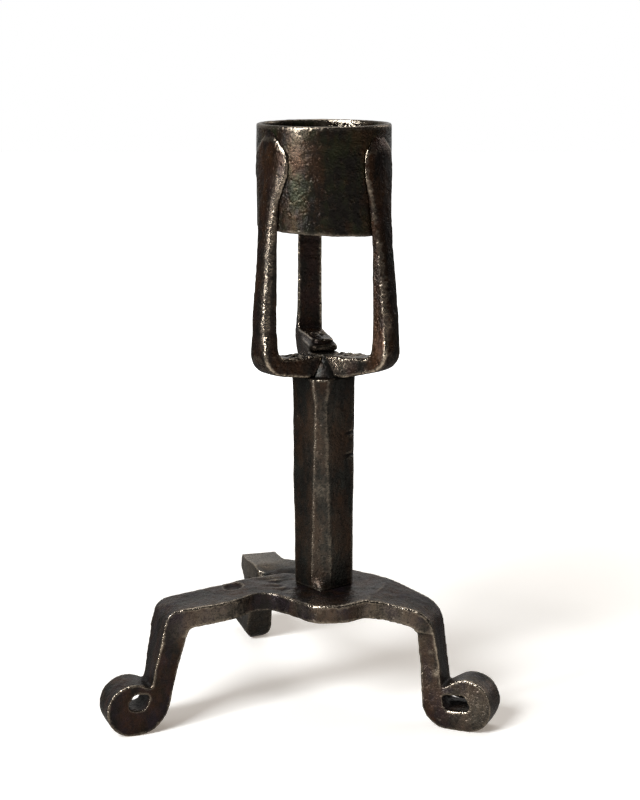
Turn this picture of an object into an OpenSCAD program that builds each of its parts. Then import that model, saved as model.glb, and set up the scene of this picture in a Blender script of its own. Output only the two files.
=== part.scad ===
// Hand-forged candlestick: a rolled cup held by three spatula-ended arms,
// a chamfered square stem and a tripod base of flat bars with scrolled feet.
// Everything is worked out around the stem's axis and then set down so that
// the origin is on the table, in the middle of the feet.

/* [Candle cup] */
// Bore of the cup, for a thick candle
cup_bore_d = 40.4; // [30:0.2:50]
// Wall of the cup
cup_wall = 1.8; // [1.4:0.1:2.5]
// Height of the cup
cup_h = 35.6; // [30:0.5:48]
// How much lower the cup's foot runs on one side
cup_skew = 2.2; // [0:0.1:3]
// Thickness of the disc that closes the cup
cup_floor_t = 2; // [1.5:0.1:3]
// Depth of the rabbet that the disc sits in
cup_rabbet = 0.6; // [0.4:0.1:0.8]
// Round on the cup's beaten rim
rim_round = 0.7; // [0.4:0.1:0.8]

/* [Arms] */
// Clear height between the arms' feet and the cup
cage_h = 39.8; // [28:0.5:50]
// Width of the two front arms
arm_w = 7.3; // [6:0.1:9]
// Width of the back arm
back_arm_w = 8.5; // [6:0.1:9]
// Thickness of an arm where it leaves the cup
arm_t_top = 2.9; // [2.4:0.1:4]
// Thickness of an arm above its knee
arm_t_low = 5.4; // [4.5:0.1:6.5]
// Thickness of an arm's foot at the stem
foot_t = 7.4; // [6:0.1:9]
// Width that an arm's foot spreads to
foot_w = 8.8; // [7:0.1:10]
// Outer round of an arm's knee
arm_knee_r = 7.5; // [6:0.5:9]
// Inner round of an arm's knee
arm_crook_r = 3; // [2:0.5:5]
// How far the left arm's foot rises towards its knee
left_lift = 3.2; // [1:0.1:5]
// How far the right arm's foot rises towards its knee
right_lift = 4.8; // [1:0.1:5]
// How far the right arm bows out above its knee
right_bow = 0.9; // [0:0.1:1.5]
// Thickness of a beaten leaf at its tip
leaf_tip_t = 0.7; // [0.5:0.1:1.2]
// Thickness of a beaten leaf at its widest
leaf_t = 1.3; // [1:0.1:2.2]
// Half width of the left leaf
left_leaf = 7.9; // [6:0.1:9.5]
// Half width of the right leaf
right_leaf = 7; // [6:0.1:9.5]
// Half width of the back leaf
back_leaf = 7.8; // [6:0.1:9.5]
// Direction of the left arm
left_arm_turn = 219; // [212:1:224]
// Direction of the right arm
right_arm_turn = 323; // [317:1:329]
// Direction of the back arm
back_arm_turn = 102; // [96:1:108]
// How far the back arm's lip reaches past the stem's axis
lip_reach = 1.5; // [0:0.1:3]
// Thickness of that lip
lip_t = 4.2; // [3:0.1:6]
// Width of that lip
lip_w = 9.8; // [9:0.1:14]

/* [Stem] */
// Length of the stem between the base and the arms
stem_l = 72.5; // [50:0.5:110]
// Width of the stem's bar across its flats
stem_w = 17; // [15:0.1:20]
// Width of the chamfers at the top of the stem
chamfer_top = 4.1; // [3:0.1:6]
// Width of the front and back chamfers at the foot of the stem
chamfer_foot = 6.9; // [4:0.1:7.5]
// Width of the side chamfers at the foot of the stem
side_chamfer_foot = 4.6; // [4:0.1:7.5]
// Height over which the front and back chamfers run out above the hub
run_out_h = 6; // [4:0.5:9]
// Turn of the stem on its axis
stem_turn = 39; // [30:1:48]
// How far the beaten top of the stem spreads on each side
stem_spread = 0.9; // [0.2:0.1:1.4]
// Height of that spread
spread_h = 9; // [5:0.5:14]
// Radius of the tapered head at its top
head_r = 5; // [4:0.1:6]
// Radius of the tenon under the stem
tenon_r = 5; // [4:0.1:6]
// Radius of the peened end of the tenon
peen_r = 7.6; // [6.5:0.1:9]
// Height of the peened end of the tenon
peen_h = 2.2; // [1.5:0.1:3]

/* [Base] */
// Height of the hub's top above the table
base_h = 44.5; // [40:0.5:55]
// Thickness of the flat bars at the hub
plate_t = 6.3; // [5.5:0.1:7.5]
// Half width of the bars at the hub
root_half = 9.6; // [8.5:0.1:11]
// Radius of the hub's back edge
hub_r = 17.6; // [16:0.1:20]
// Half width of the front feet
foot_half = 5.8; // [5:0.1:6.5]
// Half width of the back foot
back_foot_half = 5.6; // [5:0.1:6.5]
// Round inside the knees
crook_r = 2.8; // [1.5:0.1:4]
// Radius of the scrolls
scroll_r = 9.1; // [8:0.1:10]
// Height of the eye left in a scroll
eye_h = 5; // [4:0.1:6]
// Gap between a scroll's tip and its leg
curl_gap = 0.3; // [0.2:0.05:0.5]
// Depth of the worn flat under each scroll
worn_flat = 0.15; // [0.1:0.05:0.3]
// Reach of the left scroll from the stem
left_reach = 69; // [62:0.5:80]
// Reach of the right scroll from the stem
right_reach = 53; // [50:0.5:64]
// Reach of the back scroll
back_reach = 78.2; // [74:0.1:84]
// Direction of the left leg
left_turn = 200.3; // [196:0.1:204]
// Direction of the right leg
right_turn = 337.5; // [334:0.1:341]
// Direction of the back leg
back_turn = 107; // [103:0.1:111]
// How far the back leg's line passes to the side of the stem
back_shift = 4.6; // [3:0.1:7]
// Length of the scarf that joins the back leg to the hub
scarf_l = 8; // [6:0.5:10]

/* [Fits] */
// Clearance where forged pieces are welded or pressed together
weld_gap = 0.1; // [0.05:0.05:0.2]

/* [Hidden] */

iron = [0.17, 0.14, 0.12];
worn_iron = [0.27, 0.25, 0.24];
rust_iron = [0.25, 0.16, 0.11];
round_n = 96;
arc_n = 11;

// heights, from the table up
under_z = base_h - plate_t;
shoulder_z = base_h + stem_l;
foot_top_z = shoulder_z + foot_t;
cup_z = foot_top_z + cage_h;
rim_z = cup_z + cup_h;
leaf_top = rim_z - 1.4;
floor_low_z = cup_z + cup_skew + 0.4;
floor_top_z = floor_low_z + cup_floor_t;
lip_z = foot_top_z + weld_gap;

// radii round the stem's axis
bore_r = cup_bore_d / 2;
cup_r = bore_r + cup_wall;
seat_r = cup_r + weld_gap;
head_foot_r = stem_w / 2 - 0.1;
root_x = 12;

// where each value stands in a leg's list
TURN = 0;
SHIFT = 1;
REACH = 2;
FOOT = 3;
SHIN = 4;
KNEE = 5;
LEAN = 6;
KNEE_R = 7;
KNEE_DROP = 8;
HEEL = 9;
HEEL_R = 10;
EYE_Z = 11;
CREST = 12;
RISE = 13;
BAR_T = 14;
BAR_GROW = 15;
KNEE_T = 16;
TREAD = 17;

// each leg: its direction and sideways shift, the reach of its scroll, half widths at
// foot, shin and knee, the shin's lean, the knee's round and drop, the heel's length
// and round, the eye's height, the crest along the bar and its rise, the bar's
// thickness at the table and how much it gains for each mm of height, its thickness
// at the knee, and the half width of its tread on the table
left_leg = [left_turn, 0, left_reach, foot_half, 6.2, 7.1, 13.2, 5.6, 2.1, 10.3, 12, 11.3, 26, 0.7, 7.5, 0.02, plate_t, foot_half - 0.5];
right_leg = [right_turn, 0, right_reach, foot_half, 5.1, 6.2, 4, 9, 4.5, 14.7, 9, 9.2, 20, 0, 8.2, -0.06, plate_t - 1.1, foot_half - 0.5];
back_leg_form = [back_turn, back_shift, back_reach, back_foot_half, 5.7, 9, 31, 14, 4.9, 8.5, 8, 10, 28, 0, 7.5, 0.02, plate_t, back_foot_half - 2];

// where each value stands in an arm's list
WIDTH = 1;
LEAF = 2;
NECK = 3;
LIFT = 4;
BOW = 5;

// each arm: direction, width, half width of its leaf and of the leaf's neck,
// the lift of its foot and the bow above its knee
left_arm = [left_arm_turn, arm_w, left_leaf, left_leaf * 0.52, left_lift, 0];
right_arm = [right_arm_turn, arm_w, right_leaf, right_leaf * 0.72, right_lift, right_bow];
back_arm = [back_arm_turn, back_arm_w, back_leaf, back_leaf * 0.65, 2.2, 0];

function unit(v) = v / norm(v);

// a point at a distance from the stem's axis, in a direction
function polar(r, d) = r * [cos(d), sin(d)];

// the arc that rounds corner b, between the points a and c
function round_corner(a, b, c, r) =
    let (u = unit(a - b))
    let (w = unit(c - b))
    let (half = acos(u * w) / 2)
    let (centre = b + unit(u + w) * r / sin(half))
    let (p = b + u * r / tan(half) - centre)
    let (q = b + w * r / tan(half) - centre)
    let (from = atan2(p[1], p[0]))
    let (sweep = (atan2(q[1], q[0]) - from + 540) % 360 - 180)
    let (n = max(2, ceil(abs(sweep) / 90 * arc_n)))
    [for (i = [0:n]) centre + polar(r, from + sweep * i / n)];

// an outline from its corners, each given as x, y and the radius that rounds it
function rounded(corners) =
    let (n = len(corners))
    let (at = [for (k = corners) [k[0], k[1]]])
    [for (i = [0:n - 1])
        each (corners[i][2] == 0
            ? [at[i]]
            : round_corner(at[(i + n - 1) % n], at[i], at[(i + 1) % n], corners[i][2]))];

// corners given for the right half, from the bottom up, and mirrored to the left
function both_halves(corners) = concat(
    corners,
    [for (i = [len(corners) - 1:-1:0]) [-corners[i][0], corners[i][1], corners[i][2]]]
);

// a corner of the plan, along a leg and across it
function on_leg(leg, along, across, r = 0) =
    let (p = [-leg[SHIFT], 0] + polar(along, leg[TURN]) + polar(across, leg[TURN] + 90))
    [p[0], p[1], r];

// a point round the hub, in shares of its radius
function round_hub(share, d) = polar(share * hub_r, d);

// such a point as a corner of the plan
function on_hub(share, d, round = 0) =
    let (p = round_hub(share, d))
    [p[0], p[1], round];

// the ends of a foot's box along x or y
function foot_ends(leg, axis) =
    [for (s = [-1, 1]) on_leg(leg, leg[REACH] + scroll_r, s * leg[FOOT])[axis]];
mid_x = (min(foot_ends(left_leg, 0)) + max(foot_ends(right_leg, 0))) / 2;
front_y = min(concat(foot_ends(left_leg, 1), foot_ends(right_leg, 1)));
mid_y = (front_y + max(foot_ends(back_leg_form, 1))) / 2;

module set_down() {
    translate([-mid_x, -mid_y, 0]) children();
}

// the outer face of a shin, at a height
function shin_x(leg, z) =
    leg[REACH] - leg[HEEL] + (leg[BAR_T] + leg[BAR_GROW] * z) / cos(leg[LEAN]) - z * tan(leg[LEAN]);

// side view of a leg: the bar leaves the hub, turns down at the knee
// and curls out and back over itself in a scroll
module leg_side(leg) {
    reach = leg[REACH];
    heel_x = reach - leg[HEEL];
    knee_z = base_h - leg[KNEE_DROP];
    bend_z = knee_z - leg[KNEE_T];
    crest_x = leg[CREST];
    rise = leg[RISE];
    eye_z = leg[EYE_Z];
    eye_top = eye_z + eye_h / 2;
    eye_low = eye_z - eye_h / 2;
    tip_z = eye_top + 2.8;
    top_z = 2 * scroll_r;
    end_r = scroll_r - 0.1;
    difference() {
        polygon(rounded([
            [root_x, base_h, 0],
            [crest_x, base_h + rise, 30],
            [shin_x(leg, knee_z), knee_z, leg[KNEE_R]],
            [shin_x(leg, eye_z), eye_z, 0],
            [shin_x(leg, eye_z) + curl_gap, eye_z, 0],
            [shin_x(leg, tip_z) + curl_gap, tip_z, 0],
            [reach - scroll_r * 0.28, top_z, scroll_r * 0.8],
            [reach + scroll_r, top_z, end_r],
            [reach + scroll_r, -worn_flat, end_r],
            [heel_x, -worn_flat, leg[HEEL_R]],
            [heel_x - bend_z * tan(leg[LEAN]), bend_z, crook_r],
            [crest_x, under_z + rise / 2, 0],
            [root_x, under_z, 0]
        ]));
        polygon(rounded([
            [shin_x(leg, eye_top) + curl_gap / 2, eye_top, 0.8],
            [shin_x(leg, eye_low) + curl_gap / 2, eye_low, eye_h * 0.45],
            [reach + 2.4, eye_low + 0.8, 1.6],
            [reach - 0.6, eye_top + 0.7, 1.8]
        ]));
    }
}

// end view of a leg: wide at the knee and drawn down to the foot
module leg_end(leg) {
    polygon(rounded(both_halves([
        [leg[TREAD], -1, 0],
        [leg[TREAD], 0, 0],
        [leg[FOOT], scroll_r * 0.4, 0],
        [leg[FOOT], scroll_r, 0],
        [leg[SHIN], base_h * 0.5, 0],
        [leg[KNEE] + 0.3, base_h * 0.74, 0],
        [root_half + 4, base_h * 0.79, 0],
        [root_half + 4, base_h + 5, 0]
    ])));
}

// a leg as a solid, long enough to run into the hub
module leg(form) {
    translate([-form[SHIFT], 0, 0])
        rotate([0, 0, form[TURN]])
            intersection() {
                translate([0, 20, 0])
                    rotate([90, 0, 0])
                        linear_extrude(40) leg_side(form);
                rotate([90, 0, 90])
                    linear_extrude(form[REACH] + 2 * scroll_r) leg_end(form);
                translate([0, -25, 0]) cube([form[REACH] + 2 * scroll_r, 50, base_h + 5]);
            }
}

// plan of the bar that makes both front legs, with the hub between them
module front_plan() {
    polygon(rounded([
        on_leg(left_leg, left_reach * 1.304, -foot_half - 1),
        on_leg(left_leg, left_reach * 1.304, foot_half + 1),
        on_leg(left_leg, left_reach * 0.826, left_leg[KNEE] + 0.2, 20),
        on_leg(left_leg, left_reach * 0.522, root_half, 20),
        on_hub(1.284, 210, 7),
        on_hub(1.511, 264, 6),
        on_hub(1.528, 283, 7),
        on_hub(1.398, 302.5, 6),
        on_leg(right_leg, right_reach * 0.491, -root_half - 0.4, 12),
        on_leg(right_leg, right_reach * 0.792, -right_leg[KNEE] - 0.5, 20),
        on_leg(right_leg, right_reach * 1.509, -foot_half - 0.6),
        on_leg(right_leg, right_reach * 1.509, foot_half + 0.6),
        on_leg(right_leg, right_reach * 0.792, right_leg[KNEE] - 1.4, 20),
        on_hub(1.17, 24, 5),
        on_hub(1, 56, 5),
        on_hub(1, 84),
        on_hub(1.08, 124),
        on_hub(0.989, 143, 2),
        on_leg(left_leg, left_reach * 0.435, -root_half, 16)
    ]));
}

// plan of the back leg, from its scarf beside the stem to its foot
module back_plan() {
    polygon(rounded([
        on_hub(0.989, 143, 2),
        on_hub(1.739, 149, 3),
        on_hub(2.159, 136, 12),
        on_hub(2.72, 127.4, 10),
        on_hub(3.9, 117.3),
        on_leg(back_leg_form, back_reach * 1.24, back_foot_half + 1.4),
        on_leg(back_leg_form, back_reach * 1.24, -back_foot_half - 3.6),
        on_hub(2.456, 112.3, 14),
        on_hub(1.727, 117.4, 3),
        on_hub(1, 56),
        on_hub(1 - scarf_l / hub_r, 84),
        on_hub(1 - scarf_l / hub_r, 124)
    ]));
}

// the strip where half the thickness of each bar overlaps the other
module scarf_plan() {
    polygon([
        round_hub(0.989, 143),
        round_hub(1.08, 124),
        round_hub(1, 84),
        round_hub(1, 56),
        round_hub(1 - scarf_l / hub_r, 84),
        round_hub(1 - scarf_l / hub_r, 124)
    ]);
}

module front_leg_bar() {
    color(iron) set_down() difference() {
        intersection() {
            union() {
                leg(left_leg);
                leg(right_leg);
                translate([0, 0, under_z]) cylinder(h = plate_t, r = hub_r * 1.193, $fn = round_n);
                translate([hub_r * 0.114, -hub_r * 0.881, under_z])
                    cylinder(h = plate_t, r = hub_r * 0.767, $fn = round_n);
            }
            linear_extrude(base_h + 5) front_plan();
        }
        translate([0, 0, base_h - plate_t / 2]) linear_extrude(plate_t) scarf_plan();
        cylinder(h = base_h + 5, r = tenon_r + weld_gap, $fn = round_n);
    }
}

module back_leg() {
    color(iron) set_down() difference() {
        intersection() {
            union() {
                leg(back_leg_form);
                translate([0, 0, under_z]) cylinder(h = plate_t, r = hub_r * 1.534, $fn = round_n);
            }
            linear_extrude(base_h + 5) back_plan();
        }
        linear_extrude(base_h - plate_t / 2 + weld_gap) scarf_plan();
    }
}

// the tapered head that the arms' feet close round
module head_taper(grow, over) {
    slope = (head_foot_r - head_r) / foot_t;
    translate([0, 0, shoulder_z - over])
        cylinder(
            h = foot_t + 2 * over,
            r1 = head_foot_r + grow + slope * over,
            r2 = head_r + grow - slope * over,
            $fn = round_n
        );
}

// what lies outside a plane round the stem, at one distance below and another above
module outside(direction, low_d, high_d, low_z, high_z) {
    tilt = atan((high_d - low_d) / (high_z - low_z));
    rotate([0, 0, direction])
        translate([low_d, 0, low_z])
            rotate([0, tilt, 0])
                translate([0, -2 * stem_w, -stem_l])
                    cube([2 * stem_w, 4 * stem_w, 3 * stem_l]);
}

// what one chamfer takes off a corner of the stem
module chamfer(direction, diag, foot) {
    outside(direction, diag - foot / 2, diag - chamfer_top / 2 + stem_spread / 2, base_h, shoulder_z);
}

// what lies above the slope on which a chamfer runs out to the bar's full corner
module above_run_out(direction, low_d, diag) {
    rotate([0, 0, direction])
        translate([diag, 0, base_h + run_out_h / 12])
            rotate([0, atan(run_out_h / (diag - low_d)), 0])
                translate([-3 * stem_l, -2 * stem_w, 0])
                    cube([6 * stem_l, 4 * stem_w, 3 * stem_l]);
}

module stem() {
    diag = stem_w * sqrt(2) / 2;
    half = stem_w / 2;
    spread_z = shoulder_z - spread_h;
    wide = stem_w + 2 * stem_spread;
    color(worn_iron) set_down() {
        difference() {
            union() {
                translate([0, 0, base_h + stem_l / 2])
                    rotate([0, 0, stem_turn])
                        cube([stem_w, stem_w, stem_l], center = true);
                difference() {
                    translate([0, 0, shoulder_z - spread_h / 2])
                        rotate([0, 0, stem_turn])
                            cube([wide, wide, spread_h], center = true);
                    for (k = [0:3])
                        outside(stem_turn + 90 * k, half - 0.01, half + stem_spread, spread_z, shoulder_z);
                }
            }
            for (k = [0, 2])
                intersection() {
                    chamfer(stem_turn + 45 + 90 * k, diag, chamfer_foot);
                    above_run_out(stem_turn + 45 + 90 * k, diag - chamfer_foot / 2, diag);
                }
            for (k = [1, 3]) chamfer(stem_turn + 45 + 90 * k, diag, side_chamfer_foot);
        }
        head_taper(0, 0);
        translate([0, 0, shoulder_z - 2]) cylinder(h = 3, r = head_r, $fn = round_n);
        translate([0, 0, under_z - peen_h / 2])
            cylinder(h = plate_t + peen_h / 2 + 2, r = tenon_r, $fn = round_n);
        translate([0, 0, under_z - peen_h]) rotate_extrude($fn = round_n) polygon([
            [0, 0],
            [peen_r * 0.72, 0],
            [peen_r * 0.92, peen_h * 0.35],
            [peen_r, peen_h],
            [0, peen_h]
        ]);
    }
}

// side view of an arm: foot, knee, bar and the leaf beaten thin against the cup
module arm_side(lift, bow) {
    polygon(rounded([
        [2, shoulder_z, 0],
        [head_foot_r + 3, shoulder_z, 0],
        [cup_r + arm_t_low + 0.6 + bow / 2, shoulder_z + lift, arm_knee_r],
        [cup_r + arm_t_low + bow, foot_top_z + 13, 40],
        [cup_r + arm_t_top, cup_z + 3, 60],
        [seat_r + leaf_t + 0.6, cup_z + cup_h * 0.4, 0],
        [seat_r + leaf_t, cup_z + cup_h * 0.72, 0],
        [seat_r + leaf_tip_t, leaf_top, 0],
        [seat_r, leaf_top, 0],
        [seat_r, cup_z - 1, 0],
        [cup_r + 0.5, foot_top_z + 0.9, arm_crook_r],
        [13, foot_top_z, 0],
        [2, foot_top_z, 0]
    ]));
}

// front view of an arm, with the leaf like a spatula
module arm_face(form) {
    half = form[WIDTH] / 2;
    leaf = form[LEAF];
    polygon(rounded(both_halves([
        [foot_w / 2, shoulder_z - 1, 0],
        [foot_w / 2, foot_top_z + 1.5, 8],
        [half, foot_top_z + 9, 20],
        [half, cup_z - 3.4, 20],
        [form[NECK], cup_z + cup_h * 0.31, 12],
        [leaf, cup_z + cup_h * 0.57, 7],
        [leaf, cup_z + cup_h * 0.76, 5],
        [1.2, leaf_top - 0.2, 2]
    ])));
}

module arm(form) {
    rotate([0, 0, form[TURN]])
        difference() {
            intersection() {
                rotate([0, 0, -50]) rotate_extrude(angle = 100, $fn = round_n)
                    arm_side(form[LIFT], form[BOW]);
                rotate([90, 0, 90]) linear_extrude(cup_r * 2) arm_face(form);
            }
            head_taper(weld_gap, 1);
        }
}

module arm_left() {
    color(iron) set_down() arm(left_arm);
}

module arm_right() {
    color(iron) set_down() arm(right_arm);
}

// the plan of the back arm's lip, by its half width and its reach past the stem's axis
module lip_plan(half, reach) {
    polygon(rounded([
        [-reach, -half, 2.2],
        [head_r * 2, -half, 3],
        [cup_r - 3, -back_arm_w / 2, 4],
        [cup_r + 2, -back_arm_w / 2, 0],
        [cup_r + 2, back_arm_w / 2, 0],
        [cup_r - 3, back_arm_w / 2, 4],
        [head_r * 2, half, 3],
        [-reach, half, 2.2]
    ]));
}

// the back arm's foot is upset into a stepped lip that laps over the stem's head
module arm_back() {
    color(iron) set_down() {
        arm(back_arm);
        rotate([0, 0, back_arm_turn]) {
            translate([0, 0, lip_z])
                linear_extrude(lip_t * 0.55) lip_plan(lip_w / 2, lip_reach);
            translate([0, 0, lip_z + lip_t * 0.5])
                linear_extrude(lip_t * 0.5 - weld_gap) lip_plan(lip_w / 2 - 1.1, lip_reach - 1.7);
            translate([head_r + 1, -foot_w / 2, foot_top_z - 0.5])
                cube([cup_r - head_r, foot_w, 1]);
        }
    }
}

module cup_ring() {
    color(rust_iron) set_down() difference() {
        rotate_extrude($fn = round_n) polygon(rounded([
            [bore_r, cup_z, 0],
            [cup_r, cup_z, 0],
            [cup_r, rim_z, rim_round],
            [bore_r, rim_z, rim_round]
        ]));
        translate([0, 0, cup_z - 1])
            cylinder(h = floor_top_z - cup_z + 1, r = bore_r + cup_rabbet, $fn = round_n);
        translate([0, 0, cup_z + cup_skew / 2])
            rotate([0, atan(cup_skew / 2 / cup_r), 0])
                translate([0, 0, -cup_h / 2])
                    cube([3 * cup_r, 3 * cup_r, cup_h], center = true);
    }
}

module cup_floor() {
    color(rust_iron) set_down() translate([0, 0, floor_low_z])
        cylinder(h = cup_floor_t, r = bore_r + cup_rabbet - weld_gap, $fn = round_n);
}

front_leg_bar();
back_leg();
stem();
arm_left();
arm_right();
arm_back();
cup_ring();
cup_floor();
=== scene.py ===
import math

import bmesh
import bpy
import numpy as np
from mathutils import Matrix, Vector, noise


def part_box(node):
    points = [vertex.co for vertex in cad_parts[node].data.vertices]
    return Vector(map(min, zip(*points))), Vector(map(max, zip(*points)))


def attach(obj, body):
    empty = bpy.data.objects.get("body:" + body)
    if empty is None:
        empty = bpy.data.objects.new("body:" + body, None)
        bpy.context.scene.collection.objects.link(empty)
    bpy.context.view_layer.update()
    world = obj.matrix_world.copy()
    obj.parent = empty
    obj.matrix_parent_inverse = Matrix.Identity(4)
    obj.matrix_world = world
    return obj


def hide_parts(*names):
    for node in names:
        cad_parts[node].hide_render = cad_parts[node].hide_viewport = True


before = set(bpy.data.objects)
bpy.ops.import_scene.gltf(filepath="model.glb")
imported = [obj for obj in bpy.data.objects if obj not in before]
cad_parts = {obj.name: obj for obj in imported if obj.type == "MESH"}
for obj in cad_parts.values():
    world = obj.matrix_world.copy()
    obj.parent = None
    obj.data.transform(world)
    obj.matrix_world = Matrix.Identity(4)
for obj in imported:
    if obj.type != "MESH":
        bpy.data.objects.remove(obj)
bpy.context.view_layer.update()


# The two front legs and the hub are one flat bar of wrought iron, drawn out and bent over
# the anvil's edge into shins, with each foot rolled up into a scroll. Black forge scale,
# waxed and handled, is worn brown and bright along the arrises.
def links(tree, *pairs):
    for out_socket, in_socket in pairs:
        tree.links.new(out_socket, in_socket)


def add_node(tree, kind, **settings):
    node = tree.nodes.new(kind)
    for key, value in settings.items():
        setattr(node, key, value)
    return node


def colour_mix(tree, share):
    """A mix of two colours, with its two colour sockets and its result."""
    node = add_node(tree, "ShaderNodeMix", data_type="RGBA")
    links(tree, (share, node.inputs["Factor"]))
    first, second = (socket for socket in node.inputs if socket.type == "RGBA")
    result = next(socket for socket in node.outputs if socket.type == "RGBA")
    return first, second, result


def mixed(tree, share, first, second):
    first_socket, second_socket, result = colour_mix(tree, share)
    links(tree, (first, first_socket), (second, second_socket))
    return result


def ranged(tree, value, low, high, to_low=0.0, to_high=1.0):
    """Stretches low..high to to_low..to_high, and holds it there outside."""
    node = add_node(tree, "ShaderNodeMapRange")
    links(tree, (value, node.inputs[0]))
    for index, number in enumerate((low, high, to_low, to_high)):
        node.inputs[index + 1].default_value = number
    return node.outputs[0]


def sums(tree, operation, first, second):
    node = add_node(tree, "ShaderNodeMath", operation=operation)
    for socket, value in zip(node.inputs, (first, second)):
        if isinstance(value, (int, float)):
            socket.default_value = value
        else:
            links(tree, (value, socket))
    return node.outputs[0]


def speckle(tree, point, size_mm, detail, roughness, stretch=None):
    """Cloudy noise whose patches are about size_mm across."""
    noise_node = add_node(tree, "ShaderNodeTexNoise")
    noise_node.inputs["Scale"].default_value = 1000 / size_mm
    noise_node.inputs["Detail"].default_value = detail
    noise_node.inputs["Roughness"].default_value = roughness
    if stretch:
        turn = add_node(tree, "ShaderNodeMapping")
        turn.inputs["Scale"].default_value = stretch
        links(tree, (point, turn.inputs[0]), (turn.outputs[0], noise_node.inputs["Vector"]))
    else:
        links(tree, (point, noise_node.inputs["Vector"]))
    return noise_node.outputs["Fac"]


# forge scale with brown patches, pits and bright worn arrises, darker in concave hollows, with listed
# marks that paint highlights bright and paint shade dark
skin = bpy.data.node_groups.new("forged_skin", "ShaderNodeTree")
for label, kind in (
    ("Scale Black", "NodeSocketColor"),
    ("Rust Brown", "NodeSocketColor"),
    ("Heat Tint", "NodeSocketColor"),
    ("Bright Iron And Highlight", "NodeSocketColor"),
    ("Brown Amount", "NodeSocketFloat"),
    ("Wear Amount", "NodeSocketFloat"),
    ("Shine", "NodeSocketFloat"),
):
    skin.interface.new_socket(label, in_out="INPUT", socket_type=kind)
for label, kind in (
    ("Color", "NodeSocketColor"),
    ("Roughness", "NodeSocketFloat"),
    ("Metallic", "NodeSocketFloat"),
    ("Height", "NodeSocketFloat"),
):
    skin.interface.new_socket(label, in_out="OUTPUT", socket_type=kind)
given = add_node(skin, "NodeGroupInput")
handed = add_node(skin, "NodeGroupOutput")
place = add_node(skin, "ShaderNodeTexCoord").outputs["Object"]
arris = add_node(skin, "ShaderNodeAttribute", attribute_name="arris").outputs["Fac"]
hollow = add_node(skin, "ShaderNodeAttribute", attribute_name="hollow").outputs["Fac"]
# the third attribute holds the listed marks: painted highlights and bright wear above nought, painted
# shade below it
light_and_wear_marks = add_node(skin, "ShaderNodeAttribute", attribute_name="light_and_wear_marks").outputs["Fac"]
blotch = speckle(skin, place, size_mm=7, detail=5, roughness=0.62, stretch=(1, 1, 0.4))
tinge = speckle(skin, place, size_mm=5, detail=4, roughness=0.6, stretch=(1, 1, 0.55))
mottle = speckle(skin, place, size_mm=2.4, detail=4, roughness=0.6)
grain = speckle(skin, place, size_mm=0.6, detail=3, roughness=0.6)

pits_per_metre = 620
pit_cells = add_node(skin, "ShaderNodeTexVoronoi", feature="SMOOTH_F1")
pit_cells.inputs["Scale"].default_value = pits_per_metre
pit_cells.inputs["Smoothness"].default_value = 0.35
links(skin, (place, pit_cells.inputs["Vector"]))
pit_bottoms = ranged(skin, pit_cells.outputs["Distance"], 0.42, 0.12)
pitted_areas = ranged(skin, mottle, 0.47, 0.62)
pits = sums(skin, "MULTIPLY", pit_bottoms, pitted_areas)

broad_brown = ranged(skin, blotch, 0.42, 0.68)
small_brown = ranged(skin, mottle, 0.45, 0.75, -0.15, 0.35)
brown = sums(skin, "ADD", broad_brown, small_brown)
brown = sums(skin, "MULTIPLY", brown, given.outputs["Brown Amount"])
brown = ranged(skin, brown, 0.0, 1.0)
heated = ranged(skin, tinge, 0.44, 0.62)
tinged = mixed(skin, heated, given.outputs["Scale Black"], given.outputs["Heat Tint"])
scaled = mixed(skin, brown, tinged, given.outputs["Rust Brown"])

patchy = sums(skin, "ADD", sums(skin, "MULTIPLY", blotch, 0.8), sums(skin, "ADD", mottle, grain))
edge_wear = ranged(skin, arris, 0.15, 0.85)
wear_and_painted_light = sums(skin, "MULTIPLY", edge_wear, ranged(skin, patchy, 1.15, 1.5, 0.12, 1.0))
wear_and_painted_light = sums(skin, "MULTIPLY", wear_and_painted_light, given.outputs["Wear Amount"])
# marks above nought paint highlights and bright wear in the bright iron colour, where the patches allow
marked_wear_and_highlight = sums(skin, "MULTIPLY", light_and_wear_marks, ranged(skin, patchy, 1.15, 1.5, 0.2, 1.0))
wear_and_painted_light = sums(skin, "ADD", wear_and_painted_light, marked_wear_and_highlight)
wear_and_painted_light = ranged(skin, wear_and_painted_light, 0.0, 1.0)
worn_and_painted_bright = mixed(skin, wear_and_painted_light, scaled, given.outputs["Bright Iron And Highlight"])

# near-black that pits and concave hollows darken towards, and that marks below nought use to paint
# shade
soot_and_painted_shade = add_node(skin, "ShaderNodeRGB")
soot_and_painted_shade.outputs[0].default_value = (0.003, 0.002, 0.0015, 1)
painted_shade = ranged(skin, light_and_wear_marks, 0.0, -1.0)
sunk_and_painted_shade = sums(skin, "ADD", sums(skin, "ADD", hollow, painted_shade), sums(skin, "MULTIPLY", pits, 0.7))
sunk_and_painted_shade = ranged(skin, sunk_and_painted_shade, 0.1, 1.3, 0.0, 0.85)
final = mixed(skin, sunk_and_painted_shade, worn_and_painted_bright, soot_and_painted_shade.outputs[0])

broad_rough = ranged(skin, mottle, 0.3, 0.7, 0.22, 0.33)
fine_rough = ranged(skin, grain, 0.3, 0.7, -0.05, 0.07)
rough = sums(skin, "ADD", broad_rough, fine_rough)
rough = sums(skin, "SUBTRACT", rough, sums(skin, "MULTIPLY", wear_and_painted_light, 0.12))
rough = sums(skin, "SUBTRACT", rough, given.outputs["Shine"])
rough = sums(skin, "ADD", rough, sums(skin, "MULTIPLY", sunk_and_painted_shade, 0.25))
metal = ranged(skin, wear_and_painted_light, 0.0, 0.4, 0.72, 1.0)
lumps = sums(skin, "ADD", sums(skin, "MULTIPLY", mottle, 1.1), sums(skin, "MULTIPLY", grain, 0.45))
lumps = sums(skin, "SUBTRACT", lumps, sums(skin, "MULTIPLY", pits, 0.9))
links(
    skin,
    (final, handed.inputs["Color"]),
    (rough, handed.inputs["Roughness"]),
    (metal, handed.inputs["Metallic"]),
    (lumps, handed.inputs["Height"]),
)


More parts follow.
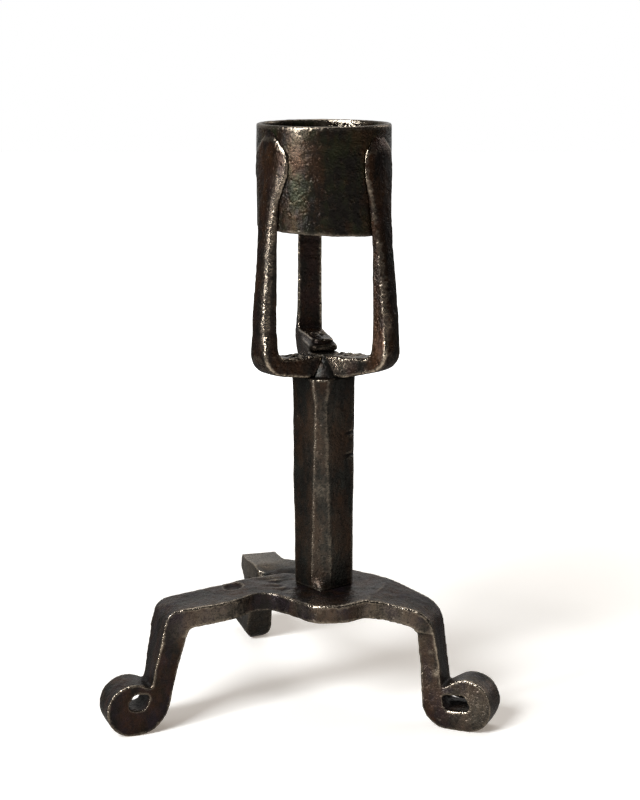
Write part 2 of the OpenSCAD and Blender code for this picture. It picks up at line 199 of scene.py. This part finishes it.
def iron(name, brown_amount, wear_amount, tint, shine=0.0):
    """The forged skin in one piece's own mix of brown, wear, heat tint and shine."""
    material = bpy.data.materials.new(name)
    material.use_nodes = True
    tree = material.node_tree
    shader = tree.nodes["Principled BSDF"]
    forged = add_node(tree, "ShaderNodeGroup", node_tree=skin)
    forged.inputs["Scale Black"].default_value = (0.013, 0.0105, 0.0085, 1)
    forged.inputs["Rust Brown"].default_value = (0.066, 0.028, 0.0105, 1)
    forged.inputs["Heat Tint"].default_value = (*tint, 1)
    forged.inputs["Bright Iron And Highlight"].default_value = (0.5, 0.42, 0.33, 1)
    forged.inputs["Brown Amount"].default_value = brown_amount
    forged.inputs["Wear Amount"].default_value = wear_amount
    forged.inputs["Shine"].default_value = shine
    raised = add_node(tree, "ShaderNodeBump")
    raised.inputs["Strength"].default_value = 0.45
    raised.inputs["Distance"].default_value = 0.0005
    links(
        tree,
        (forged.outputs["Color"], shader.inputs["Base Color"]),
        (forged.outputs["Roughness"], shader.inputs["Roughness"]),
        (forged.outputs["Metallic"], shader.inputs["Metallic"]),
        (forged.outputs["Height"], raised.inputs["Height"]),
        (raised.outputs["Normal"], shader.inputs["Normal"]),
    )
    shader.inputs["Specular IOR Level"].default_value = 0.5
    return material


def spread(points, pairs, times):
    """Moves each point half-way to the middle of its neighbours, a number of times."""
    count = np.bincount(pairs.ravel(), minlength=len(points))[:, None]
    for _ in range(times):
        total = np.zeros_like(points)
        for axis in range(3):
            total[:, axis] = np.bincount(pairs[:, 0], points[pairs[:, 1], axis], len(points))
            total[:, axis] += np.bincount(pairs[:, 1], points[pairs[:, 0], axis], len(points))
        points = points + 0.5 * (total / count - points)
    return points


def near(points, spot, radius):
    """How strongly each point belongs to a mark round a spot."""
    return np.exp(-((points - np.array(spot)) ** 2).sum(1) / radius**2)


def hammered(spot, seed, broad, fine):
    """How far a point stands off the drawn face: slow waves and hammer marks, then fine scale."""
    moved = Vector((seed * 0.37, seed * 0.11, seed * 0.23))
    wave = noise.noise((spot * 62) + moved) + 0.5 * noise.noise((spot * 135) + moved)
    ring = noise.voronoi((spot * 165) + moved)[0]
    mark = min(1.0, ring[0] * 1.15) ** 2 - 0.45
    small = noise.noise((spot * 420) + moved) + 0.6 * noise.noise((spot * 900) + moved)
    return broad * (0.75 * wave + 0.55 * mark) + fine * small


def normals_of(mesh, points):
    mesh.vertices.foreach_set("co", points.ravel())
    mesh.update()
    found = np.empty(len(points) * 3)
    mesh.vertices.foreach_get("normal", found)
    return found.reshape(-1, 3)


def forge(name, node, material, soften, broad, seed, grid=0.0004, shape=None, marks=()):
    """Turns a drawn solid into a hammered forging that stands for it.

    Each mark is a spot, its radius and an amount: above nought it paints the iron bright, as highlight
    and as wear; below nought it paints shade.
    """
    fine = 0.00006
    solid = bmesh.new()
    solid.from_mesh(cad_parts[node].data)
    bmesh.ops.remove_doubles(solid, verts=solid.verts, dist=1e-6)
    mesh = bpy.data.meshes.new(name)
    solid.to_mesh(mesh)
    solid.free()
    piece = bpy.data.objects.new(name, mesh)
    bpy.context.scene.collection.objects.link(piece)
    remesh = piece.modifiers.new("even_skin", "REMESH")
    remesh.mode = "VOXEL"
    remesh.voxel_size = grid
    remesh.use_smooth_shade = True
    graph = bpy.context.evaluated_depsgraph_get()
    even = bpy.data.meshes.new_from_object(piece.evaluated_get(graph))
    piece.modifiers.clear()
    piece.data = even
    bpy.data.meshes.remove(mesh)
    even.name = name
    size = len(even.vertices)
    points = np.empty(size * 3)
    even.vertices.foreach_get("co", points)
    drawn = points.reshape(-1, 3)
    pairs = np.empty(len(even.edges) * 2, np.int64)
    even.edges.foreach_get("vertices", pairs)
    pairs = pairs.reshape(-1, 2)
    points = spread(drawn, pairs, soften)
    if shape is not None:
        points = shape(points, drawn)
    normals = normals_of(even, points)
    proud = np.array([hammered(Vector(point), seed, broad, fine) for point in points])
    points = points + normals * (proud - 0.35 * broad)[:, None]
    low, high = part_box(node)
    hair = 2e-6
    points = np.clip(points, np.array(low) + hair, np.array(high) - hair)
    even.vertices.foreach_set("co", points.ravel())
    normals = normals_of(even, points)
    rounding_passes = 14
    rounded = spread(points, pairs, rounding_passes)
    bulge = ((points - rounded) * normals).sum(1)
    bulge = bulge / (np.percentile(np.abs(bulge), 98) + 1e-9)
    # the marks add up to painted highlights and bright wear, and to painted shade where below nought
    wear_and_painted_light = np.zeros(size)
    for spot, radius, amount in marks:
        wear_and_painted_light = wear_and_painted_light + amount * near(points, spot, radius)
    for label, values, low_end in (("arris", bulge, 0), ("hollow", -bulge, 0), ("light_and_wear_marks", wear_and_painted_light, -1)):
        mask = even.attributes.new(label, "FLOAT", "POINT")
        mask.data.foreach_set("value", np.clip(values, low_end, 1).astype(np.float32))
    even.materials.clear()
    even.materials.append(material)
    even.polygons.foreach_set("use_smooth", np.ones(len(even.polygons), bool))
    even.update()
    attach(piece, "root")
    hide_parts(node)
    return piece


stem_axis = np.array((0.007834, -0.026294))


def heading(degrees):
    """The way in the plan that a turn of so many degrees points."""
    turn = math.radians(degrees)
    return np.array((math.cos(turn), math.sin(turn)))


def beaten_hub(points, drawn):
    """Dents and ripples the hub's top by its weld, and narrows the back of the right scroll's eye."""
    dent_x, dent_y = -0.0230, -0.0320
    dent_radius = 0.0034
    dent_depth = 0.0009
    gap = np.hypot(points[:, 0] - dent_x, points[:, 1] - dent_y) / dent_radius
    down = dent_depth * np.clip(1.5 * (1 - gap**2), 0, 1)

    weld_start = np.array((-0.0112, -0.0205))
    weld_way = np.array((0.0077, -0.0168)) / 0.01848
    weld_length = 0.0215
    weld_half_width = 0.0042
    fade = 0.003
    offset = points[:, :2] - weld_start
    travel = offset @ weld_way
    aside = offset @ np.array((-weld_way[1], weld_way[0]))
    weld = np.exp(-((aside / weld_half_width) ** 2)) * np.clip(travel / fade, 0, 1)
    weld = weld * np.clip((weld_length - travel) / fade, 0, 1)
    for index in np.nonzero(weld > 0.03)[0]:
        spot = Vector((travel[index] * 420, aside[index] * 190, 7.3))
        down[index] += weld[index] * (0.0003 + 0.0009 * noise.noise(spot))
    upper_side = np.clip((points[:, 2] - 0.0425) / 0.001, 0, 1)
    points[:, 2] -= down * upper_side

    eye_out, eye_height = 0.0504, 0.0092
    eye_half_width, eye_half_height = 0.0050, 0.0026
    closed_at = 0.0080
    leg_way = heading(337.5)
    flat = points[:, :2] - stem_axis
    out = flat @ leg_way
    back = flat @ np.array((-leg_way[1], leg_way[0]))
    ring = np.hypot((out - eye_out) / eye_half_width, (points[:, 2] - eye_height) / eye_half_height)
    shut = np.clip(2.0 - ring, 0, 1) * np.clip((back + 0.002) / 0.004, 0, 1) * (out > 0.044)
    points[:, 2] -= (points[:, 2] - closed_at) * 0.96 * shut
    return points


leg_iron = iron("waxed_leg_iron", brown_amount=0.7, wear_amount=0.95, tint=(0.024, 0.016, 0.020))
# marks paint bright spots and highlights, with the wear there, along the front of the bar from the
# right scroll over the hub's front edge to the left knee, and paint shade in the hub's dent and inside
# both scroll eyes
leg_wear_and_painted_light = (
    ((0.0435, -0.0469, 0.0265), 0.0006, 1.2),
    ((0.0452, -0.0475, 0.0190), 0.0009, 1.2),
    ((-0.0103, -0.0221, 0.0447), 0.0022, 0.35),
    ((-0.0035, -0.0373, 0.0446), 0.0022, 0.35),
    ((-0.0230, -0.0320, 0.0438), 0.0024, -0.2),
    ((0.0579, -0.0531, 0.0120), 0.0080, 0.22),
    ((0.0564, -0.0527, 0.0041), 0.0070, 0.16),
    ((0.0440, -0.0473, 0.0133), 0.0060, 0.06),
    ((0.0439, -0.0469, 0.0237), 0.0060, 0.08),
    ((0.0398, -0.0462, 0.0305), 0.0050, 0.10),
    ((0.0347, -0.0468, 0.0370), 0.0055, 0.22),
    ((0.0281, -0.0458, 0.0401), 0.0050, 0.24),
    ((0.0214, -0.0470, 0.0412), 0.0045, 0.20),
    ((0.0098, -0.0526, 0.0418), 0.0050, 0.12),
    ((-0.0001, -0.0481, 0.0430), 0.0045, 0.12),
    ((-0.0216, -0.0464, 0.0400), 0.0050, 0.16),
    ((-0.0297, -0.0496, 0.0385), 0.0070, 0.26),
    ((-0.0380, -0.0515, 0.0360), 0.0050, 0.12),
    ((-0.0540, -0.0475, 0.0091), 0.0042, -0.8),
    ((0.0530, -0.0410, 0.0080), 0.0050, -0.6),
)
front_legs = forge(
    "front_legs_forging", "front_leg_bar", leg_iron, soften=3, broad=0.0003, seed=3,
    grid=0.00042, shape=beaten_hub, marks=leg_wear_and_painted_light,
)


# The back leg is a second bar of the same flat stock, scarfed and fire welded on to the
# hub's back edge, then bent down and rolled like the other two.
def sunk_scarf(points, drawn):
    """Leaves a hollow where the scarf's lap was not beaten flush, and rounds the foot's corners."""
    foot = drawn[:, 2] < 0.007
    lean, start = np.polyfit(drawn[foot, 1], drawn[foot, 0], 1)
    middle = start + lean * drawn[:, 1]
    rounded_to = 0.006
    narrowed = 1 - 0.45 * np.clip((rounded_to - points[:, 2]) / rounded_to, 0, 1) ** 2
    points[:, 0] = np.where(foot, middle + (points[:, 0] - middle) * narrowed, points[:, 0])
    for depth, spot, radius in (
        (0.0012, (-0.0120, -0.0105, 0.0445), 0.0034),
        (0.0009, (-0.0080, -0.0145, 0.0445), 0.0030),
        (0.0009, (-0.0035, -0.0160, 0.0445), 0.0030),
    ):
        points[:, 2] -= depth * near(points, spot, radius)
    return points


# marks paint a glint in the scarf's slot, shade along the scarf's hollow, and sheen on the back leg's
# top and left side
back_leg_painted_light_and_shade = (
    ((-0.0143, -0.0125, 0.0425), 0.0012, 0.9),
    ((-0.0115, -0.0135, 0.0445), 0.0020, -1.2),
    ((-0.0080, -0.0150, 0.0445), 0.0026, -1.2),
    ((-0.0035, -0.0165, 0.0445), 0.0030, -1.2),
    ((-0.0119, -0.0003, 0.0443), 0.0080, 0.45),
    ((-0.0190, 0.0142, 0.0414), 0.0080, 0.45),
    ((-0.0195, 0.0150, 0.0250), 0.0270, 0.26),
    ((-0.0217, 0.0099, 0.0405), 0.0035, 0.9),
    ((-0.0203, 0.0018, 0.0400), 0.0040, 0.9),
    ((-0.0185, -0.0050, 0.0410), 0.0030, 0.7),
)
back_iron = iron(
    "greyed_back_iron", brown_amount=0.3, wear_amount=0.9, tint=(0.024, 0.024, 0.022), shine=-0.03,
)
back_leg = forge(
    "back_leg_forging", "back_leg", back_iron, soften=3, broad=0.00026, seed=8,
    shape=sunk_scarf, marks=back_leg_painted_light_and_shade,
)


# The stem is square bar with its arrises beaten off into chamfers that widen downwards.
# Its tenon passes through the hub and is riveted over underneath.
def nicked_stem(points, drawn):
    """Keeps the foot tight on the hub, nicks the right arris and rounds the front chamfer's run-out."""
    hub_top = 0.0445
    foot = np.exp(-(((drawn[:, 2] - hub_top) / 0.0012) ** 2))[:, None]
    points = points + foot * (drawn - points)
    points[:, 2] -= 0.0002 * foot[:, 0]

    nick_depth = 0.0011
    nick_half_height = 0.0008
    for nick_x, nick_y, nick_z in ((0.0176, -0.0296, 0.0973), (0.0174, -0.0299, 0.0898)):
        away = np.hypot(points[:, 0] - nick_x, points[:, 1] - nick_y)
        cut = np.clip(1 - np.abs(points[:, 2] - nick_z) / nick_half_height, 0, 1)
        points[:, 0] -= nick_depth * (cut * np.exp(-((away / 0.0022) ** 2)))

    run_out = 0.0505
    forward = heading(264)
    ahead = (points[:, :2] - stem_axis) @ forward
    face = ahead[np.abs(points[:, 2] - 0.0525) < 0.0006].max()
    rise = np.clip((run_out - points[:, 2]) / 0.006, 0.001, 1)
    proud = np.clip(ahead - face, 0, None) * (points[:, 2] < run_out)
    points[:, :2] -= (proud * (1 - rise**2))[:, None] * forward
    return points


stem_iron = iron("waxed_stem_iron", brown_amount=0.55, wear_amount=0.45, tint=(0.018, 0.018, 0.015))
# marks paint the front chamfer lighter as sheen with a highlight spot, and paint shade over the head's
# facets in the notch under the arms
stem_painted_light_and_shade = (
    ((0.0066, -0.0366, 0.0790), 0.0030, 0.3),
    ((0.0066, -0.0395, 0.0560), 0.0070, 0.16),
    ((0.0066, -0.0395, 0.0680), 0.0070, 0.10),
    ((0.0066, -0.0390, 0.0900), 0.0070, 0.10),
    ((0.0066, -0.0385, 0.1040), 0.0070, 0.10),
    ((0.0098, -0.0335, 0.1192), 0.0030, -1.3),
    ((0.0160, -0.0300, 0.1172), 0.0040, -1.0),
    ((0.0000, -0.0300, 0.1172), 0.0040, -1.0),
)
stem = forge(
    "stem_forging", "stem", stem_iron, soften=4, broad=0.00026, seed=15,
    shape=nicked_stem, marks=stem_painted_light_and_shade,
)


# Each arm is a thin forged bar whose foot is welded round the stem's head and whose upper
# end is spread into a leaf, closed against the cup and welded to it.
def arm_shape(turn, front, flush_h, weld_spot):
    """Rounds an arm's front arris, beats its leaf flush at the top and roughens its foot's weld."""
    aim = heading(turn)
    arm_start, leaf_start, leaf_top = 0.127, 0.18, 0.1984
    cup_radius = 0.022

    def shape(points, drawn):
        spoke = points[:, :2] - stem_axis
        far = np.linalg.norm(spoke, axis=1)
        aside = spoke[:, 1] * aim[0] - spoke[:, 0] * aim[1]
        height = points[:, 2]
        levels = np.arange(arm_start, 0.2, 0.0008)
        rows = [np.nonzero((np.abs(height - level) < 0.0006) & (far > 0.015))[0] for level in levels]
        outer = [far[row[np.abs(aside[row]) < 0.0012]].max() for row in rows if row.size]
        inner = [far[row[np.abs(aside[row]) < 0.0012]].min() for row in rows if row.size]
        half = [np.abs(aside[row]).max() for row in rows if row.size]
        levels = [level for level, row in zip(levels, rows) if row.size]
        outer, inner, half = (np.interp(height, levels, values) for values in (outer, inner, half))
        thick = np.maximum(outer - inner, 0.0003)
        outward = np.clip((far - inner) / thick, 0, 1) * np.clip((height - arm_start) / 0.007, 0, 1)
        drop = np.minimum(0.42 * thick, 0.0014) * np.clip(front * aside / half, 0, 1) ** 3
        lower = far - drop * outward
        kept = np.clip((leaf_top - height) / flush_h, 0, 1)
        kept = kept * kept * (3 - 2 * kept)
        flush = lower - np.maximum(lower - cup_radius, 0) * (1 - kept) - 0.0002 * (1 - kept)
        lower = np.where(height > leaf_start, flush, lower)
        points[:, :2] = stem_axis + spoke * (lower / far)[:, None]
        rough = near(points, weld_spot, 0.0050)
        for index in np.nonzero(rough > 0.05)[0]:
            points[index, 2] += rough[index] * 0.0009 * noise.noise(Vector(points[index]) * 800)
        return points

    return shape


arm_iron = iron(
    "waxed_arm_iron", brown_amount=0.75, wear_amount=1.3, tint=(0.024, 0.013, 0.011), shine=0.09,
)
# side, turn in degrees, which edge is the front one, the height over which the leaf's tip is
# beaten flush, seed, the spot of the weld at the foot, and marks, which paint highlights along the left
# arm's front arris, on the welds and along the right arm's front, and paint shade over the right arm's
# face and round the back arm's foot
arm_forms = (
    (
        "left", 219, 1, 0.0035, 21, (0.0, -0.0345, 0.1246),
        (
            ((0.0, -0.0345, 0.1246), 0.0020, 0.4),
            ((-0.0048, -0.0463, 0.1820), 0.0035, 0.35),
            ((-0.0063, -0.0452, 0.1760), 0.0026, 0.35),
            ((-0.0078, -0.0450, 0.1700), 0.0024, 0.3),
            ((-0.0088, -0.0452, 0.1650), 0.0024, 0.3),
            ((-0.0096, -0.0455, 0.1600), 0.0024, 0.3),
            ((-0.0100, -0.0456, 0.1543), 0.0024, 0.3),
            ((-0.0105, -0.0458, 0.1485), 0.0024, 0.3),
            ((-0.0108, -0.0460, 0.1430), 0.0024, 0.3),
            ((-0.0110, -0.0463, 0.1370), 0.0024, 0.3),
            ((-0.0110, -0.0466, 0.1310), 0.0024, 0.3),
        ),
    ),
    (
        "right", 323, -1, 0.007, 27, (0.0165, -0.0305, 0.1246),
        (
            ((0.0150, -0.0280, 0.1246), 0.0030, 0.9),
            ((0.0185, -0.0330, 0.1246), 0.0030, 0.9),
            ((0.0110, -0.0345, 0.1225), 0.0026, 0.8),
            ((0.0147, -0.0362, 0.1244), 0.0030, 0.5),
            ((0.0330, -0.0400, 0.1600), 0.0200, -0.35),
            ((0.0233, -0.0446, 0.1766), 0.0040, 0.10),
            ((0.0256, -0.0446, 0.1600), 0.0050, 0.12),
            ((0.0260, -0.0446, 0.1446), 0.0050, 0.12),
        ),
    ),
    (
        "back", 102, 1, 0.004, 33, (0.0059, -0.0148, 0.1286),
        (
            ((0.0059, -0.0148, 0.1286), 0.0025, 0.4),
            ((0.0052, -0.0264, 0.1279), 0.0024, -1.0),
            ((0.0036, -0.0278, 0.1255), 0.0024, -1.0),
            ((0.0109, -0.0272, 0.1257), 0.0024, -0.9),
        ),
    ),
)
for side, turn, front, flush_h, seed, weld_spot, arm_painted_light_and_shade in arm_forms:
    arm = forge(
        f"{side}_arm_forging", f"arm_{side}", arm_iron, soften=12, broad=0.0002, seed=seed,
        grid=0.00034, shape=arm_shape(turn, front, flush_h, weld_spot), marks=arm_painted_light_and_shade,
    )


# The cup is a strip of thin plate rolled into a ring and welded at its ends, with a plain
# rim filed flat.
cup_iron = iron(
    "browned_cup_iron", brown_amount=0.65, wear_amount=0.5, tint=(0.022, 0.023, 0.011), shine=0.07,
)
# marks paint the window's reflection on the inner back wall under the rim, the highlight on the front
# of the rim, and a highlight down the cup's bright band
cup_painted_highlights = (
    ((0.0125, -0.0068, 0.1985), 0.0040, 1.0),
    ((0.0175, -0.0085, 0.1985), 0.0035, 1.0),
    ((-0.0008, -0.0465, 0.1990), 0.0022, 0.5),
    ((-0.0010, -0.0464, 0.1924), 0.0045, 0.05),
)
cup = forge("cup_forging", "cup_ring", cup_iron, soften=4, broad=0.00012, seed=41, marks=cup_painted_highlights)


# The cup's floor is a disc of the same plate, cut round. It is let into the ring's foot from
# below and welded round its edge, and it carries the candle.
floor_disc = forge("cup_floor_forging", "cup_floor", cup_iron, soften=3, broad=0.0001, seed=52)


# The candlestick stands on a flat sheet of white paper in a white room. Two windows light
# it from the left and front, a weak one from behind on the right, and a card from above.
# The camera sees paper and room as white, while the iron mirrors them darker and shaded.
paper = bpy.data.materials.new("white_paper")
paper.use_nodes = True
tree = paper.node_tree
tree.nodes.clear()
matt = add_node(tree, "ShaderNodeBsdfDiffuse")
matt.inputs["Color"].default_value = (0.97, 0.96, 0.94, 1)
seen = add_node(tree, "ShaderNodeLightPath")
here = add_node(tree, "ShaderNodeTexCoord").outputs["Object"]
reach = add_node(tree, "ShaderNodeVectorMath", operation="LENGTH")
depth = add_node(tree, "ShaderNodeSeparateXYZ")
links(tree, (here, reach.inputs[0]), (here, depth.inputs[0]))
distance = reach.outputs["Value"]
# the paper glows warmer near the candlestick; lit paper still comes out white, so the warm tint shows
# only in the shadows as painted warm shade
warm_shade_tint, far_white, paper_glow_with_warm_shade = colour_mix(tree, ranged(tree, distance, 0.12, 0.4))
warm_shade_tint.default_value = (1, 0.86, 0.73, 1)
far_white.default_value = (1, 1, 1, 1)
pale = ranged(tree, distance, 0.12, 0.45, 0.25, 1.0)
lit = add_node(tree, "ShaderNodeEmission")
lit_strength = sums(tree, "MULTIPLY", seen.outputs["Is Camera Ray"], pale)
mirrored = add_node(tree, "ShaderNodeEmission")
mirrored.inputs["Color"].default_value = (1, 0.96, 0.9, 1)
front_light = ranged(tree, depth.outputs["Y"], -0.13, -0.03, 0.8, 0.13)
mirrored_strength = sums(tree, "MULTIPLY", front_light, ranged(tree, distance, 0.25, 0.8, 1.0, 0.45))
both = add_node(tree, "ShaderNodeAddShader")
parted = add_node(tree, "ShaderNodeMixShader")
end = add_node(tree, "ShaderNodeOutputMaterial")
links(
    tree,
    (paper_glow_with_warm_shade, lit.inputs["Color"]),
    (lit_strength, lit.inputs["Strength"]),
    (mirrored_strength, mirrored.inputs["Strength"]),
    (matt.outputs[0], both.inputs[0]),
    (lit.outputs[0], both.inputs[1]),
    (seen.outputs["Is Glossy Ray"], parted.inputs[0]),
    (both.outputs[0], parted.inputs[1]),
    (mirrored.outputs[0], parted.inputs[2]),
    (parted.outputs[0], end.inputs["Surface"]),
)
ground = bmesh.new()
half_side = 2.5
bmesh.ops.create_grid(ground, x_segments=1, y_segments=1, size=half_side)
sheet = bpy.data.meshes.new("paper_floor")
ground.to_mesh(sheet)
ground.free()
floor = bpy.data.objects.new("paper_floor", sheet)
bpy.context.scene.collection.objects.link(floor)
sheet.materials.append(paper)

world = bpy.data.worlds.new("white_room")
bpy.context.scene.world = world
world.use_nodes = True
tree = world.node_tree
tree.nodes.clear()
toward = add_node(tree, "ShaderNodeSeparateXYZ")
links(tree, (add_node(tree, "ShaderNodeTexCoord").outputs["Generated"], toward.inputs[0]))
room = add_node(tree, "ShaderNodeBackground")
room.inputs["Color"].default_value = (1.0, 0.98, 0.95, 1)
links(tree, (ranged(tree, toward.outputs["Y"], 0.1, 0.98, 0.02, 0.52), room.inputs["Strength"]))
back_wall = add_node(tree, "ShaderNodeBackground")
back_wall.inputs["Color"].default_value = (1, 1, 1, 1)
back_wall.inputs["Strength"].default_value = 1.0
seen = add_node(tree, "ShaderNodeLightPath")
blend = add_node(tree, "ShaderNodeMixShader")
end = add_node(tree, "ShaderNodeOutputWorld")
links(
    tree,
    (seen.outputs["Is Camera Ray"], blend.inputs[0]),
    (room.outputs[0], blend.inputs[1]),
    (back_wall.outputs[0], blend.inputs[2]),
    (blend.outputs[0], end.inputs["Surface"]),
)


def window(name, spot, aim, wide, high, watts, colour):
    """A soft rectangular lamp at spot that faces aim."""
    data = bpy.data.lights.new(name, "AREA")
    data.shape = "RECTANGLE"
    data.size = wide
    data.size_y = high
    data.energy = watts
    data.color = colour
    lamp = bpy.data.objects.new(name, data)
    bpy.context.scene.collection.objects.link(lamp)
    lamp.location = spot
    lamp.rotation_euler = (Vector(aim) - Vector(spot)).to_track_quat("-Z", "Y").to_euler()


daylight = (0.95, 0.98, 1)
hub_height, middle = (0, 0, 0.05), (0, 0, 0.1)
window("high_window", (-0.58, -0.82, 0.8), hub_height, wide=0.42, high=0.42, watts=15, colour=daylight)
window("tall_window", (-0.95, -0.82, 0.42), middle, wide=0.15, high=0.6, watts=9, colour=daylight)
window("right_window", (1.2, 0.7, 0.8), middle, wide=0.3, high=0.6, watts=2, colour=(1, 0.97, 0.93))
window("overhead_card", (0.1, 0.25, 1.4), middle, wide=0.9, high=0.7, watts=4.5, colour=(1, 1, 1))

lens = bpy.data.cameras.new("photo_camera")
lens.sensor_width = 36
lens.sensor_fit = "AUTO"
lens.lens = 81.0
lens.clip_start = 0.01
lens.clip_end = 50
camera = bpy.data.objects.new("photo_camera", lens)
bpy.context.scene.collection.objects.link(camera)
camera.location = (0.006547, -0.6150036, 0.23422)
looks_down = 0.2114
camera.rotation_euler = (math.radians(90) - looks_down, 0, 0)
bpy.context.scene.camera = camera
bpy.context.scene.view_settings.view_transform = "Standard"
